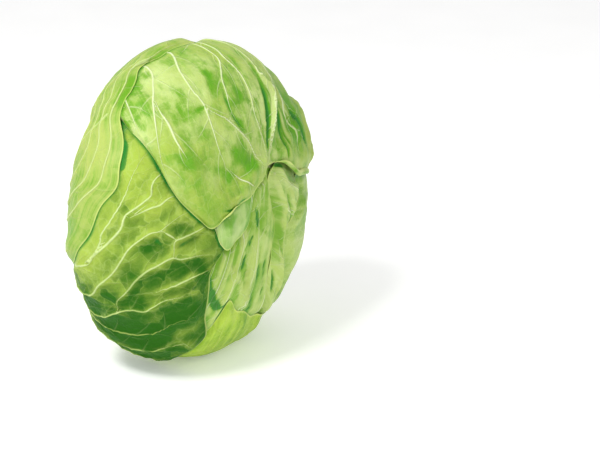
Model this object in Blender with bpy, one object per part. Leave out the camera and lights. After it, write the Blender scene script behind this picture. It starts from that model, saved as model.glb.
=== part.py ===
"""A head of flat cabbage, lying on its rim: wrapper leaves, the tight heart inside them, and the cut stem.

Every leaf is one thin sheet that grows from the ring round the stem and lies over the leaves inside it.
Places on the head are directions from its middle: the polar angle counts from the crown, the azimuth
from the top of the lying head towards its left side. Lengths are in metres and angles in degrees.
"""

from dataclasses import dataclass, field

import bmesh
import bpy
import numpy as np

# Driving dimensions of the head.
HEART_RADIUS = 0.0962
HEART_CROWN = 0.0520
HEART_BASE = 0.0520
HEART_SEAT = 0.0490
HEART_SUBDIVISIONS = 3
SQUARENESS = 2.35
AXIS_RISE = 3.0
MIDDLE_HEIGHT = 0.1015
LUMP_HEIGHT = 0.0016

# The leaves: how thick a blade is, and how far it stands clear of what lies under it.
BLADE = 0.0011
CLEARANCE = 0.0015
HEART_CLEARANCE = 0.0020
DRAPE_ANGLE = 10.0
FADE_START = 3.0
FADE_ANGLE = 7.0
FLOOR_STEP = 0.0018

# Where a leaf meets the stem.
RING_ANGLE = 15.5
STEM_RADIUS = 0.0148
STEM_LENGTH = 0.0210
STEM_TAPER = 0.94
STEM_BEVEL = 0.0015
STEM_SIDES = 22
STEM_GAP = 0.0003

# Ribs and waved margins.
MIDRIB_WIDTH = (0.030, 0.007)
MIDRIB_HEIGHT = (0.0046, 0.0014)
VEIN_WIDTH = (0.009, 0.005)
VEIN_HEIGHT = (0.0016, 0.0009)
SPREAD_STEP = 0.02
FOLD_START = 0.12
FOLD_STEEPNESS = 3.0
MARGIN_BAND = 0.14
MARGIN_SAMPLES = 72
COLUMNS_PER_RIB = 4
RIB_BUNDLING = 1.5
ROW_SAMPLES = 120
ROW_LENGTH = 0.014
ROW_TURN = 14.0
LIFT_PLACES = (0.5, 0.25, 0.75, 0.5)


@dataclass
class Leaf:
    """One wrapper leaf. The margin runs from its right side, over its tip, to its left side."""

    name: str
    stem_azimuth: float
    spread: float
    throat: tuple
    reach: tuple
    margin: tuple
    ribs: int
    rows: int
    colour: tuple
    flare: float = 50.0
    fold: tuple = (0.0010, 0.0010)
    veins: float = 1.0
    lift: float = 0.0012
    wave: float = 0.020
    seed: int = 1
    curls: tuple = field(default_factory=tuple)


# From the innermost leaf to the outermost one.
LEAVES = (
    Leaf(
        name="leaf_crown_lower",
        stem_azimuth=160,
        spread=42,
        throat=(140, 166),
        reach=(95, 172),
        margin=(
            (112, 98), (84, 96), (60, 100), (40, 94), (32, 78), (28, 46),
            (27, -10), (34, -66), (52, -108), (78, -126), (104, -134),
        ),
        ribs=7,
        rows=16,
        colour=(0.62, 0.76, 0.40),
        fold=(0.0024, 0.0034),
        veins=1.3,
        lift=0.0026,
        seed=12,
    ),
    Leaf(
        name="leaf_crown_right",
        stem_azimuth=236,
        spread=42,
        throat=(140, 236),
        reach=(95, 238),
        margin=(
            (110, 196), (84, 192), (64, 194), (52, 194), (43, 193), (34, 199), (26, 211), (17, 234),
            (10, 272), (12, 322), (24, -24), (44, -48), (74, -62), (110, -66),
        ),
        ribs=7,
        rows=16,
        colour=(0.64, 0.78, 0.42),
        fold=(0.0034, 0.0030),
        veins=1.3,
        lift=0.0030,
        seed=13,
    ),
    Leaf(
        name="leaf_right",
        stem_azimuth=292,
        spread=44,
        throat=(142, 282),
        reach=(100, 268),
        margin=(
            (118, 222), (92, 212), (72, 209), (58, 211), (44, 213), (34, 221), (30, 232), (34, 246),
            (43, 273), (52, 294), (70, 312), (94, 324), (118, 334),
        ),
        ribs=7,
        rows=15,
        colour=(0.55, 0.72, 0.30),
        fold=(0.0030, 0.0020),
        veins=1.3,
        lift=0.0026,
        seed=14,
    ),
    Leaf(
        name="leaf_bottom",
        stem_azimuth=200,
        spread=42,
        throat=(142, 196),
        reach=(105, 188),
        margin=(
            (122, 134), (94, 136), (76, 146), (67, 151), (60, 149), (52, 148), (54, 159), (58, 170),
            (63, 183), (68, 198), (80, 212), (98, 226), (122, 242),
        ),
        ribs=7,
        rows=14,
        colour=(0.45, 0.66, 0.14),
        fold=(0.0007, 0.0007),
        lift=0.0016,
        seed=15,
    ),
    Leaf(
        name="leaf_lower_left",
        stem_azimuth=122,
        spread=42,
        throat=(140, 122),
        reach=(98, 118),
        margin=(
            (122, 64), (98, 42), (76, 42), (58, 56), (44, 74), (36, 92), (37, 104), (44, 111),
            (51, 117), (56, 127), (60, 140), (67, 151), (76, 154), (94, 156), (122, 170),
        ),
        ribs=9,
        rows=16,
        colour=(0.33, 0.56, 0.13),
        fold=(0.0022, 0.0014),
        veins=1.9,
        lift=0.0018,
        seed=16,
    ),
    Leaf(
        name="leaf_under_top",
        stem_azimuth=-2,
        spread=42,
        throat=(140, -2),
        reach=(92, -6),
        margin=(
            (118, -40), (92, -34), (66, -28), (44, -20), (28, -4), (19, 22), (16, 48), (16, 70), (17, 92),
            (21, 104), (27, 107), (34, 108), (40, 109), (43, 102), (45, 90), (51, 76), (60, 62), (74, 48),
            (92, 36), (118, 34),
        ),
        ribs=7,
        rows=15,
        colour=(0.60, 0.76, 0.36),
        flare=36.0,
        lift=0.0024,
        wave=0.007,
        seed=11,
    ),
    Leaf(
        name="leaf_top",
        stem_azimuth=-20,
        spread=44,
        throat=(142, -16),
        reach=(92, -6),
        margin=(
            (118, -72), (94, -86), (68, -88), (54, -84), (43, -78), (34, -65), (31, -46), (29, -27),
            (26, -9), (19, 0), (19, 18), (20, 38), (22, 55), (30, 70), (37, 78), (42, 81), (47, 87),
            (53, 82), (60, 74), (67, 66), (74, 58), (80, 53), (86, 49), (95, 43), (106, 38), (120, 40),
        ),
        ribs=11,
        rows=17,
        colour=(0.56, 0.74, 0.28),
        fold=(0.0056, 0.0010),
        lift=0.0024,
        seed=17,
        curls=((0.30, 0.07, 0.0040), (-0.62, 0.10, 0.0012)),
    ),
    Leaf(
        name="leaf_left",
        stem_azimuth=66,
        spread=42,
        throat=(140, 66),
        reach=(114, 66),
        margin=(
            (126, -24), (110, -24), (98, -16), (92, -6), (91, 5), (92, 14), (95, 20), (92, 28), (91, 35),
            (90, 43), (88, 52), (86, 62), (86, 70), (90, 77), (93, 83), (98, 90), (104, 99), (112, 107),
            (126, 114),
        ),
        ribs=7,
        rows=13,
        colour=(0.50, 0.71, 0.22),
        fold=(0.0006, 0.0006),
        lift=0.0012,
        seed=18,
    ),
)
LOWEST_LEAF = "leaf_bottom"


def unit(vectors):
    return vectors / np.linalg.norm(vectors, axis=-1, keepdims=True)


def direction(polar, azimuth):
    """The unit vector at a polar angle from the crown and an azimuth round the head's axis."""
    p, a = np.radians(polar), np.radians(azimuth)
    return np.stack(np.broadcast_arrays(np.sin(p) * np.cos(a), np.sin(p) * np.sin(a), np.cos(p)), axis=-1)


def smooth(x):
    x = np.clip(x, 0.0, 1.0)
    return x * x * (3.0 - 2.0 * x)


def between(ends, t):
    return ends[0] + (ends[1] - ends[0]) * t


def lumps(d):
    """Gentle unevenness of the whole head, from minus one to one."""
    waves = (
        np.sin(3.1 * d[..., 0] + 2.3 * d[..., 1] + 0.6)
        + np.sin(4.2 * d[..., 1] - 2.9 * d[..., 2] + 1.9)
        + np.sin(5.3 * d[..., 2] + 4.1 * d[..., 0] - 0.8)
    )
    return waves / 3.0


def heart_radius(d):
    """Distance from the middle to the heart's surface: a flattened, slightly square round."""
    across = np.hypot(d[..., 0], d[..., 1])
    depth = np.where(d[..., 2] > 0.0, HEART_CROWN, HEART_BASE)
    squared = (np.abs(d[..., 2]) / depth) ** SQUARENESS + (across / HEART_RADIUS) ** SQUARENESS
    return squared ** (-1.0 / SQUARENESS) + LUMP_HEIGHT * lumps(d)


def smooth_curve(knots, at):
    """A cubic curve through the knots; at runs from -1 to 1 in step with the length along them."""
    lengths = np.linalg.norm(np.diff(knots, axis=0), axis=1)
    place = np.concatenate([[0.0], np.cumsum(lengths)])
    place = 2.0 * place / place[-1] - 1.0
    slope = np.gradient(knots, place, axis=0)
    i = np.clip(np.searchsorted(place, at, side="right") - 1, 0, len(place) - 2)
    gap = (place[i + 1] - place[i])[..., None]
    x = (at - place[i])[..., None] / gap
    start, end = knots[i], knots[i + 1]
    return (
        start * (1 + 2 * x) * (1 - x) ** 2
        + end * x * x * (3 - 2 * x)
        + gap * slope[i] * x * (1 - x) ** 2
        - gap * slope[i + 1] * x * x * (1 - x)
    )


def margin_wave(leaf, s):
    """How far the margin runs in and out along the ribs, as a share of the leaf's length."""
    phase = leaf.seed * 1.7
    waves = (
        0.6 * np.sin(7.0 * s + phase)
        + 0.5 * np.sin(15.0 * s + 2.0 * phase)
        + 0.4 * np.sin(29.0 * s + 3.0 * phase)
    )
    return leaf.wave * waves


def fan(leaf, s, t):
    """Directions on the leaf. s runs across its ribs from -1 to 1, t from the stem to the margin."""
    s, t = np.broadcast_arrays(np.asarray(s, float), np.asarray(t, float))
    root = direction(180.0 - RING_ANGLE, leaf.stem_azimuth + leaf.spread * s)
    wing = direction(leaf.throat[0], leaf.throat[1] + leaf.flare * s)
    side = np.abs(s)[..., None] ** RIB_BUNDLING
    bow = unit(wing * side + direction(*leaf.reach) * (1.0 - side))
    edge = unit(smooth_curve(direction(*np.array(leaf.margin, float).T), s))
    r = (t * (1.0 + margin_wave(leaf, s)))[..., None]
    return unit(root * (1 - r) ** 2 + 2 * r * (1 - r) * bow + edge * r * r)


def outline(leaf):
    """The leaf's closed edge, as directions."""
    side = np.linspace(0.0, 1.0, MARGIN_SAMPLES // 4, endpoint=False)
    tip = np.linspace(-1.0, 1.0, MARGIN_SAMPLES, endpoint=False)
    foot = np.linspace(1.0, -1.0, 6, endpoint=False)
    return np.concatenate(
        [fan(leaf, -1.0, side), fan(leaf, tip, 1.0), fan(leaf, 1.0, 1.0 - side), fan(leaf, foot, 0.0)]
    )


OUTLINES = {leaf.name: outline(leaf) for leaf in LEAVES}


def inside_angle(leaf, d):
    """Angle from each direction to the leaf's edge: positive on the leaf, negative off it."""
    edge = OUTLINES[leaf.name]
    start, step = edge, np.roll(edge, -1, axis=0) - edge
    away = d[:, None, :] - start[None]
    along = np.clip((away * step).sum(-1) / (step * step).sum(-1), 0.0, 1.0)
    distance = np.linalg.norm(away - along[..., None] * step, axis=-1).min(axis=1)
    middle = unit(edge.mean(axis=0))
    across = unit(np.cross(middle, (0.3, 0.5, 0.8)))
    upward = np.cross(middle, across)

    def flat(v):
        scale = 2.0 / (1.0 + v @ middle).clip(1e-6)
        return (v @ across) * scale, (v @ upward) * scale

    px, py = flat(d)
    ex, ey = flat(edge)
    fx, fy = np.roll(ex, -1), np.roll(ey, -1)
    crosses = (ey[None] > py[:, None]) != (fy[None] > py[:, None])
    where = ex + (py[:, None] - ey) * (fx - ex) / np.where(fy == ey, 1e-12, fy - ey)
    inside = (crosses & (px[:, None] < where)).sum(axis=1) % 2 == 1
    return np.degrees(2.0 * np.arcsin(np.clip(distance / 2.0, 0.0, 1.0))) * np.where(inside, 1.0, -1.0)


def bed_height(index, d):
    """Height above the heart of the bed that the leaf lies on: every leaf inside it, with its clearance."""
    masks = [smooth(1.0 + inside_angle(leaf, d) / DRAPE_ANGLE) for leaf in LEAVES[:index]]
    heights = []
    for i in range(index + 1):
        stack = np.full(len(d), HEART_CLEARANCE**6)
        for j in range(i):
            stack += (masks[j] * (heights[j] + BLADE + CLEARANCE)) ** 6
        heights.append(stack ** (1.0 / 6.0))
    return heights[index]


def bare_share(index, d):
    """1 where nothing lies over the leaf, 0 where an outer leaf covers it."""
    bare = np.ones(len(d))
    for leaf in LEAVES[index + 1 :]:
        clear = -inside_angle(leaf, d) - FADE_START
        bare = np.minimum(bare, smooth(clear / FADE_ANGLE))
    return bare


def rib_relief(leaf, s, t):
    """Height of the midrib and the side ribs on the outer face."""
    spread = fan(leaf, s + SPREAD_STEP, t) - fan(leaf, s - SPREAD_STEP, t)
    across = np.linalg.norm(spread, axis=-1) / (2 * SPREAD_STEP) * HEART_RADIUS
    relief = np.zeros_like(across)
    for k in range(leaf.ribs):
        middle = -1.0 + (2 * k + 1) / leaf.ribs
        is_midrib = 2 * k + 1 == leaf.ribs
        width = between(MIDRIB_WIDTH if is_midrib else VEIN_WIDTH, smooth(t * 1.3))
        height = between(MIDRIB_HEIGHT if is_midrib else VEIN_HEIGHT, smooth(t * 1.2))
        height = height * (1.0 if is_midrib else leaf.veins)
        shape = np.clip(1.0 - (np.abs(s - middle) * across / (0.5 * width)) ** 2, 0.0, 1.0)
        relief = np.maximum(relief, height * shape)
    return relief


def fold_relief(leaf, s, t):
    """Soft pleats that crest along the ribs."""
    crest = 0.5 + 0.5 * np.cos(np.pi * leaf.ribs * (s + 1.0) - np.pi)
    return between(leaf.fold, (s + 1.0) / 2.0) * crest * smooth(FOLD_STEEPNESS * (t - FOLD_START))


def margin_lift(leaf, s, t):
    """How far the last stretch of the blade curls clear of its bed."""
    phase = leaf.seed * 2.3
    height = leaf.lift * (0.55 + 0.30 * np.sin(11.0 * s + phase) + 0.25 * np.sin(23.0 * s + 2.0 * phase))
    for middle, width, extra in leaf.curls:
        height = height + extra * np.exp(-(((s - middle) / width) ** 2))
    return np.maximum(height, 0.0) * smooth((t - 1.0 + MARGIN_BAND) / MARGIN_BAND)


def leaf_surfaces(index, s, t):
    """The directions of points on a leaf, and the distances to its inner and outer faces."""
    leaf = LEAVES[index]
    d = fan(leaf, s, t)
    bed = heart_radius(d) + bed_height(index, d)
    bare = bare_share(index, d)
    bed += margin_lift(leaf, s, t) * bare
    relief = (rib_relief(leaf, s, t) + fold_relief(leaf, s, t)) * bare
    return d, bed, bed + BLADE + relief


def laid_down(points):
    """Turns points from the head's own axes to the lying head, above the floor."""
    rise = np.radians(AXIS_RISE)
    up, left, out = points[:, 0], points[:, 1], points[:, 2]
    along_axis = np.sin(rise) * up - np.cos(rise) * out
    height = MIDDLE_HEIGHT + np.cos(rise) * up + np.sin(rise) * out
    return np.stack([-left, along_axis, height], axis=-1)


def floor_level(index):
    """The head is flattened where it lies: each layer there keeps its own level."""
    lowest = [leaf.name for leaf in LEAVES].index(LOWEST_LEAF)
    return max(0, lowest - index) * FLOOR_STEP


def pressed(points, level):
    points[:, 2] = np.maximum(points[:, 2], level)
    return points


def finish(name, mesh_builder, colour, roughness=0.5):
    """Makes the object of a finished bmesh, with its material."""
    mesh = bpy.data.meshes.new(name)
    mesh_builder.normal_update()
    bmesh.ops.recalc_face_normals(mesh_builder, faces=mesh_builder.faces)
    mesh_builder.to_mesh(mesh)
    mesh_builder.free()
    mesh.shade_smooth()
    made = bpy.data.objects.new(name, mesh)
    bpy.context.scene.collection.objects.link(made)
    material = bpy.data.materials.new(name)
    material.use_nodes = True
    shader = material.node_tree.nodes["Principled BSDF"]
    shader.inputs["Base Color"].default_value = (*colour, 1.0)
    shader.inputs["Roughness"].default_value = roughness
    shader.inputs["Metallic"].default_value = 0.0
    mesh.materials.append(material)
    return made


def row_places(leaf, s):
    """Where the rows of faces lie along the rib at s: closer together where the head's rim bends."""
    t = np.linspace(0.0, 1.0, ROW_SAMPLES)
    d = fan(leaf, s, t)
    run = np.gradient(d * heart_radius(d)[:, None], axis=0)
    turn = np.linalg.norm(np.gradient(unit(run), axis=0), axis=1)
    crowd = np.linalg.norm(run, axis=1) / ROW_LENGTH + turn / np.radians(ROW_TURN)
    place = np.concatenate([[0.0], np.cumsum(0.5 * (crowd[1:] + crowd[:-1]))])
    return np.interp(np.linspace(0.0, place[-1], leaf.rows + 1), place, t)


def split_outward(sheet, points):
    """Splits each square of the grid along the diagonal that stands further out on the laid leaf."""
    sheet.verts.index_update()
    for face in list(sheet.faces):
        a, b, c, e = face.verts
        one, other = points[a.index] + points[c.index], points[b.index] + points[e.index]
        pair = (a, c) if np.linalg.norm(one) > np.linalg.norm(other) else (b, e)
        bmesh.utils.face_split(face, *pair)


def lift_off_bed(index, sheet, d, distance):
    """Extra height for the corners of every edge that would cut straight through the bed below it."""
    lift = np.zeros(len(distance))
    a, b = np.array([[v.index for v in edge.verts] for edge in sheet.edges]).T
    for share in LIFT_PLACES:
        points = d * (distance + lift)[:, None]
        place = points[a] * (1.0 - share) + points[b] * share
        toward = unit(place)
        short = heart_radius(toward) + bed_height(index, toward) - np.linalg.norm(place, axis=1)
        extra = np.zeros(len(distance))
        np.maximum.at(extra, a, short)
        np.maximum.at(extra, b, short)
        lift += extra
    return lift


def make_leaf(index):
    """A flat grid is laid on the head as the inner face, then extruded to the outer one."""
    leaf = LEAVES[index]
    columns = COLUMNS_PER_RIB * leaf.ribs
    sheet = bmesh.new()
    bmesh.ops.create_grid(sheet, x_segments=columns, y_segments=leaf.rows, size=1.0)
    grid = np.array([v.co[:2] for v in sheet.verts])
    column = np.rint((grid[:, 0] + 1.0) / 2.0 * columns).astype(int)
    row = np.rint((grid[:, 1] + 1.0) / 2.0 * leaf.rows).astype(int)
    places = np.array([row_places(leaf, -1.0 + 2.0 * k / columns) for k in range(columns + 1)])
    s, t = grid[:, 0], places[column, row]
    d, inner, outer = leaf_surfaces(index, s, t)
    split_outward(sheet, d * inner[:, None])
    lift = lift_off_bed(index, sheet, d, inner)
    inner, outer = inner + lift, outer + lift
    level = floor_level(index)
    inner_points = pressed(laid_down(d * inner[:, None]), level + BLADE)
    outer_points = pressed(laid_down(d * outer[:, None]), level)
    inner_verts = list(sheet.verts)
    extruded = bmesh.ops.extrude_face_region(sheet, geom=list(sheet.faces))
    outer_verts = [v for v in extruded["geom"] if isinstance(v, bmesh.types.BMVert)]
    nearest = {(round(v.co.x, 5), round(v.co.y, 5)): i for i, v in enumerate(inner_verts)}
    for v in outer_verts:
        v.co = outer_points[nearest[(round(v.co.x, 5), round(v.co.y, 5))]]
    for i, v in enumerate(inner_verts):
        v.co = inner_points[i]
    return finish(leaf.name, sheet, leaf.colour)


def make_heart():
    """The tightly folded inner leaves, as one dense round with a flat seat for the stem."""
    ball = bmesh.new()
    bmesh.ops.create_icosphere(ball, subdivisions=HEART_SUBDIVISIONS, radius=1.0)
    d = unit(np.array([v.co[:] for v in ball.verts]))
    points = d * heart_radius(d)[:, None]
    points[:, 2] = np.maximum(points[:, 2], -HEART_SEAT)
    level = floor_level(0) + FLOOR_STEP
    points = pressed(laid_down(points), level)
    for v, p in zip(ball.verts, points):
        v.co = p
    return finish("heart", ball, (0.78, 0.84, 0.55))


def make_stem():
    """The short stem stump, cut off square, on the heart's seat."""
    stump = bmesh.new()
    bmesh.ops.create_cone(
        stump,
        cap_ends=True,
        segments=STEM_SIDES,
        radius1=STEM_RADIUS,
        radius2=STEM_RADIUS * STEM_TAPER,
        depth=STEM_LENGTH,
    )
    cut_edges = [e for e in stump.edges if all(v.co.z < 0 for v in e.verts)]
    bmesh.ops.bevel(
        stump, geom=cut_edges, offset=STEM_BEVEL, segments=2, affect="EDGES", profile=0.5, material=-1
    )
    points = np.array([v.co[:] for v in stump.verts])
    points[:, 2] -= HEART_SEAT + STEM_GAP + STEM_LENGTH / 2
    for v, p in zip(stump.verts, laid_down(points)):
        v.co = p
    return finish("stem", stump, (0.80, 0.84, 0.62))


def main():
    for old in list(bpy.data.objects):
        bpy.data.objects.remove(old)
    make_heart()
    make_stem()
    for index in range(len(LEAVES)):
        make_leaf(index)


main()
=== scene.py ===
"""The looks of a head of flat cabbage, lying on its rim: heart, stem stump, eight leaves and a studio.

Places on the head are directions from its middle: the polar angle counts from the crown, the azimuth
from the top of the lying head towards its left side. Lengths are in metres and angles in degrees.
"""

import math
import random
from dataclasses import dataclass

import bmesh
import bpy
import numpy as np
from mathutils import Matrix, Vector, kdtree, noise


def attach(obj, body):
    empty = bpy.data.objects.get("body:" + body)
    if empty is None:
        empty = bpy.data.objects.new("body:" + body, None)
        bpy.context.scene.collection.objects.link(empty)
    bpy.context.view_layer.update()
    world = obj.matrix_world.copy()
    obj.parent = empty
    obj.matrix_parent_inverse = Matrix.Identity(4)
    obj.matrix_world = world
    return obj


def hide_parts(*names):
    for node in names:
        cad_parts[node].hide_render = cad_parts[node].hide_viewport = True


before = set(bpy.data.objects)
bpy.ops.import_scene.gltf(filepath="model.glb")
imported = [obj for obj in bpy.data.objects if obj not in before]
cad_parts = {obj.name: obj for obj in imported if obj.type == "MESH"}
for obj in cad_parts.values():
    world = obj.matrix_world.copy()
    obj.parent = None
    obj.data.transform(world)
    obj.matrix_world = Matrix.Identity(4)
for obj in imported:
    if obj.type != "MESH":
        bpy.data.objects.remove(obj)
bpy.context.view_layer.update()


# The heart: tightly folded inner leaves, pale and waxy, that have grown into one dense round.
# It carries all the wrapper leaves, and they hide it but for a narrow ring round the stem.
HEART_RADIUS = 0.0962
HEART_CROWN = 0.0520
HEART_BASE = 0.0520
HEART_SEAT = 0.0490
SQUARENESS = 2.35
AXIS_RISE = 3.0
MIDDLE_HEIGHT = 0.1015
LUMP_HEIGHT = 0.0016
FURROW_DEPTH = 0.0011
SKIN_ROUGHNESS = 0.0003
FLOOR_STEP = 0.0018
HEART_LEVEL = 0.0072


class Socket:
    """An output of a material's nodes. Sums and products of sockets and numbers add their Math nodes."""

    def __init__(self, tree, output=None):
        self.tree, self.output = tree, output

    def node(self, kind, settings=None, sockets=None, out=0):
        """Adds a node: its settings first, then the values or links of its sockets."""
        made = self.tree.nodes.new(kind)
        for name, value in (settings or {}).items():
            setattr(made, name, value)
        for name, value in (sockets or {}).items():
            if isinstance(value, Socket):
                self.tree.links.new(value.output, made.inputs[name])
            else:
                made.inputs[name].default_value = value
        return Socket(self.tree, made.outputs[out])

    def math(self, operation, *values):
        return self.node("ShaderNodeMath", {"operation": operation}, dict(enumerate(values)))

    def __add__(self, other):
        return self.math("ADD", self, other)

    def __sub__(self, other):
        return self.math("SUBTRACT", self, other)

    def __rsub__(self, other):
        return self.math("SUBTRACT", other, self)

    def __mul__(self, other):
        return self.math("MULTIPLY", self, other)

    def __abs__(self):
        return self.math("ABSOLUTE", self)

    __radd__ = __add__
    __rmul__ = __mul__

    def step(self, low, high):
        """0 below low and 1 above high, with a smooth rise; a low above high falls instead."""
        return self.node(
            "ShaderNodeMapRange",
            {"interpolation_type": "SMOOTHSTEP"},
            {"Value": self, "From Min": low, "From Max": high},
        )

    def blend(self, first, second):
        """Mixes two colours by this value."""
        return self.node(
            "ShaderNodeMix",
            {"data_type": "RGBA", "blend_type": "MIX", "clamp_factor": True},
            {"Factor": self, 6: first, 7: second},
            out=2,
        )

    def place(self):
        """Places on the object."""
        return self.node("ShaderNodeTexCoord", out=3)

    def attribute(self, name):
        """What the piece's mesh keeps under that name at each of its corners."""
        return self.node("ShaderNodeAttribute", {"attribute_name": name}, out=2)

    def noise(self, scale, detail, roughness=0.5, out=0):
        """Clouds over the places that this socket gives."""
        values = {"Vector": self, "Scale": scale, "Detail": detail, "Roughness": roughness}
        return self.node("ShaderNodeTexNoise", {}, values, out)

    def walls(self, scale, randomness=1.0):
        """Distance to the nearest wall of the cells that fill the places that this socket gives."""
        values = {"Vector": self, "Scale": scale, "Randomness": randomness}
        return self.node("ShaderNodeTexVoronoi", {"feature": "DISTANCE_TO_EDGE"}, values)

    def bump(self, strength, distance):
        """A surface raised by this value."""
        return self.node("ShaderNodeBump", {}, {"Strength": strength, "Distance": distance, "Height": self})


def new_finish(name, fixed):
    """A material, its node tree's first socket, and its shader with the values that stay fixed."""
    material = bpy.data.materials.new(name)
    material.use_nodes = True
    shader = material.node_tree.nodes["Principled BSDF"]
    for socket, value in fixed.items():
        shader.inputs[socket].default_value = value
    return material, Socket(material.node_tree), shader


def feed(start, shader, **sockets):
    for name, value in sockets.items():
        start.tree.links.new(value.output, shader.inputs[name.replace("_", " ")])


def tone(red, green, blue):
    """A colour for a colour socket."""
    return (red, green, blue, 1.0)


def unit(vectors):
    return vectors / np.linalg.norm(vectors, axis=-1, keepdims=True)


def direction(polar, azimuth):
    p, a = np.radians(polar), np.radians(azimuth)
    return np.stack(np.broadcast_arrays(np.sin(p) * np.cos(a), np.sin(p) * np.sin(a), np.cos(p)), axis=-1)


def smooth(x):
    x = np.clip(x, 0.0, 1.0)
    return x * x * (3.0 - 2.0 * x)


def between(ends, t):
    return ends[0] + (ends[1] - ends[0]) * t


def lumps(d):
    """Broad hollows and swellings of a grown head, from minus one to one."""
    x, y, z = d[..., 0], d[..., 1], d[..., 2]
    first, second = np.sin(3.1 * x + 2.3 * y + 0.6), np.sin(4.2 * y - 2.9 * z + 1.9)
    return (first + second + np.sin(5.3 * z + 4.1 * x - 0.8)) / 3.0


def heart_radius(d):
    """Distance from the middle to the heart's surface: a flattened, slightly square round."""
    across = np.hypot(d[..., 0], d[..., 1])
    depth = np.where(d[..., 2] > 0.0, HEART_CROWN, HEART_BASE)
    squared = (np.abs(d[..., 2]) / depth) ** SQUARENESS + (across / HEART_RADIUS) ** SQUARENESS
    return squared ** (-1.0 / SQUARENESS) + LUMP_HEIGHT * lumps(d)


def laid_down(points):
    """Turns points from the head's own axes to the lying head, above the floor."""
    sine, cosine = np.sin(np.radians(AXIS_RISE)), np.cos(np.radians(AXIS_RISE))
    up, left, out = points.T
    return np.stack([-left, sine * up - cosine * out, MIDDLE_HEIGHT + cosine * up + sine * out], axis=-1)


def rough_noise(points, size, seed, detail=2):
    """Cloudy unevenness of that size at each point, about from minus one to one."""
    shift = Vector((seed * 3.7, seed * 1.9, seed * 5.3))
    return np.array([noise.fractal(Vector(p) / size + shift, 1.0, 2.0, detail) for p in points])


def put_in_place(name, builder, points, material, node):
    """Makes the piece of a bmesh whose corners move to the points, and hands it to the frame."""
    mesh = bpy.data.meshes.new(name)
    builder.to_mesh(mesh)
    builder.free()
    mesh.vertices.foreach_set("co", np.asarray(points, np.float32).ravel())
    turned = bmesh.new()
    turned.from_mesh(mesh)
    turned.normal_update()
    bmesh.ops.recalc_face_normals(turned, faces=turned.faces)
    turned.to_mesh(mesh)
    turned.free()
    mesh.shade_smooth()
    mesh.materials.append(material)
    piece = bpy.data.objects.new(name, mesh)
    bpy.context.scene.collection.objects.link(piece)
    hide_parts(node)
    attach(piece, "root")
    return piece


def keep_on_corners(piece, attributes):
    """Stores values for the piece's material at each corner of its mesh."""
    for name, values in attributes.items():
        kept = piece.data.attributes.new(name, "FLOAT", "POINT")
        kept.data.foreach_set("value", values.astype(np.float32))


heart_finish, start, shader = new_finish(
    "heart flesh",
    {
        "Subsurface Weight": 0.2,
        "Subsurface Scale": 0.004,
        "Subsurface Radius": (0.8, 1.0, 0.4),
        "Coat Weight": 0.08,
        "IOR": 1.45,
    },
)
place = start.place()
cloud, fine = place.noise(30.0, 3.0), place.noise(260.0, 3.0)
net = place.walls(160.0).step(0.09, 0.0)
flesh = cloud.step(0.35, 0.7).blend(tone(0.66, 0.76, 0.34), tone(0.52, 0.68, 0.20))
feed(
    start,
    shader,
    Base_Color=(net * 0.35).blend(flesh, tone(0.78, 0.83, 0.52)),
    Roughness=fine * 0.2 + 0.38,
    Normal=(net * 0.6 + fine * 0.5).bump(0.4, 0.0005),
)

ball = bmesh.new()
bmesh.ops.create_icosphere(ball, subdivisions=6, radius=1.0)
d = unit(np.array([v.co[:] for v in ball.verts]))
folds = np.sin(2.6 * np.arctan2(d[:, 1], d[:, 0]) + 5.0 * d[:, 2] + 0.7 * rough_noise(d, 0.5, 2))
furrows = FURROW_DEPTH * smooth(folds * 4.0 - 3.0)
points = d * (heart_radius(d) - furrows + SKIN_ROUGHNESS * rough_noise(d, 0.12, 3))[:, None]
points[:, 2] = np.maximum(points[:, 2], -HEART_SEAT)
points = laid_down(points)
points[:, 2] = np.maximum(points[:, 2], HEART_LEVEL)
put_in_place("heart_skin", ball, points, heart_finish, "heart")


# The stem: a short stump of firm white flesh, cut off square with a knife, on the heart's seat.
# Its side keeps the scars of trimmed leaves, and the cut face has dried a little at its rim.
STEM_RADIUS = 0.0148
STEM_TAPER = 0.94
STEM_LENGTH = 0.0210
STEM_BEVEL = 0.0015
STEM_GAP = 0.0003
CUT_RINGS = (0.0018, 0.0024, 0.003, 0.003)
SIDE_RINGS = np.linspace(-0.0075, 0.0095, 16)
SCAR_PITCH_MM = 4.5
SCAR_HEIGHT = 0.0006
SIDE_ROUGHNESS = 0.0003
CUT_ROUGHNESS = 0.00025
DRIED_FLESH = tone(0.52, 0.42, 0.20)

stem_finish, start, shader = new_finish(
    "cut stem", {"Subsurface Weight": 0.15, "Subsurface Scale": 0.004, "IOR": 1.42, "Coat Roughness": 0.3}
)
place = start.place()
ring_mm, cut, scar = start.attribute("ring_mm"), start.attribute("cut_face"), start.attribute("scar")
cloud, fine = place.noise(120.0, 4.0), place.noise(900.0, 3.0)
pores = start.node("ShaderNodeTexVoronoi", {}, {"Vector": place, "Scale": 900.0})
pith = (ring_mm + cloud * 2.4).step(7.6, 8.8) * (ring_mm + cloud * 2.4).step(12.4, 11.0)
face = cloud.step(0.3, 0.7).blend(tone(0.80, 0.84, 0.60), tone(0.70, 0.76, 0.46))
face = (pith * 0.6).blend(face, tone(0.50, 0.60, 0.24))
face = (ring_mm + cloud * 1.6).step(13.0, 15.0).blend(face, DRIED_FLESH)
side = cloud.step(0.35, 0.65).blend(tone(0.72, 0.80, 0.48), tone(0.56, 0.70, 0.28))
side = scar.blend(side, tone(0.46, 0.38, 0.18))
feed(
    start,
    shader,
    Base_Color=cut.blend(side, face),
    Roughness=cloud * 0.25 + 0.35,
    Coat_Weight=cut * 0.25,
    Normal=(fine * 0.6 + pores * 0.4 * cut + pith * 0.5).bump(0.5, 0.0005),
)


def end_faces(body):
    return [f for f in body.faces if len(f.verts) > 8]


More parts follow.
